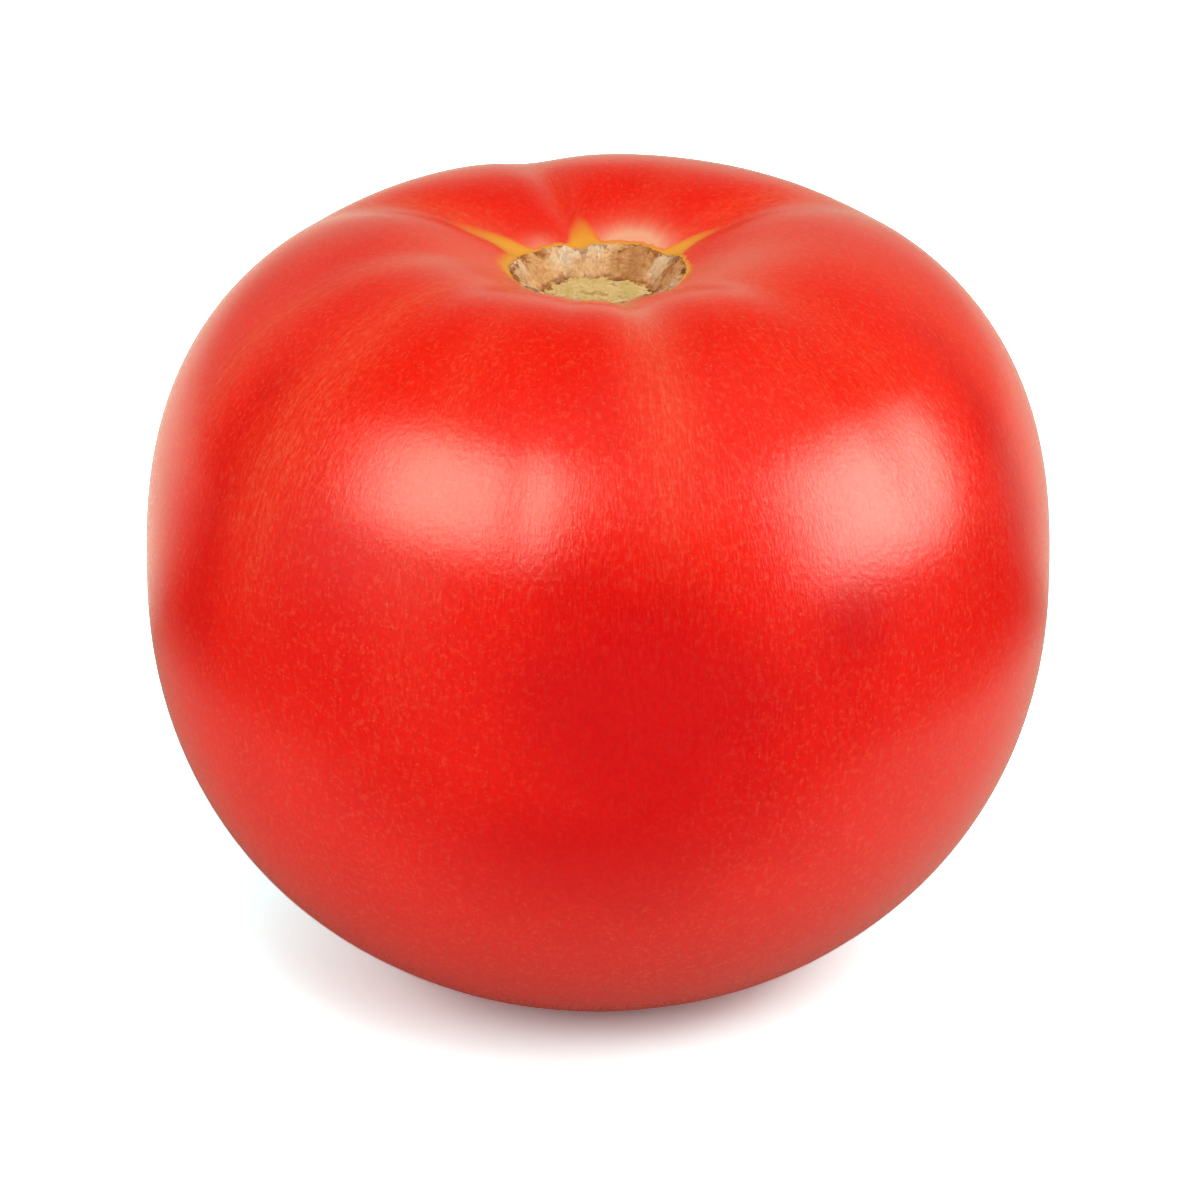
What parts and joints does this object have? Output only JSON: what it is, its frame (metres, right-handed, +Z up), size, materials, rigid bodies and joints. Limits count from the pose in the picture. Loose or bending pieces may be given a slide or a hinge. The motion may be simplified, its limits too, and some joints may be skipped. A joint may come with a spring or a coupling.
{
  "type": "tomato",
  "caption": "Whole ripe pink tomato without its stalk, round with lobed shoulders, a corky stem scar in the crown and a small flat spot to rest on.",
  "frame": {"origin": "centre of the small flat spot that the fruit rests on", "axes": "+Z up through the stem scar, -Y the side shown in front, +X to the right seen from the front"},
  "size_m": [0.0852, 0.0851, 0.0738],
  "materials": {
    "skin": "smooth waxy tomato skin, satin gloss, red with fine golden specks, and tan cork in the stem scar"
  },
  "bodies": {
    "root": {"fruit": "skin"}
  },
  "joints": []
}
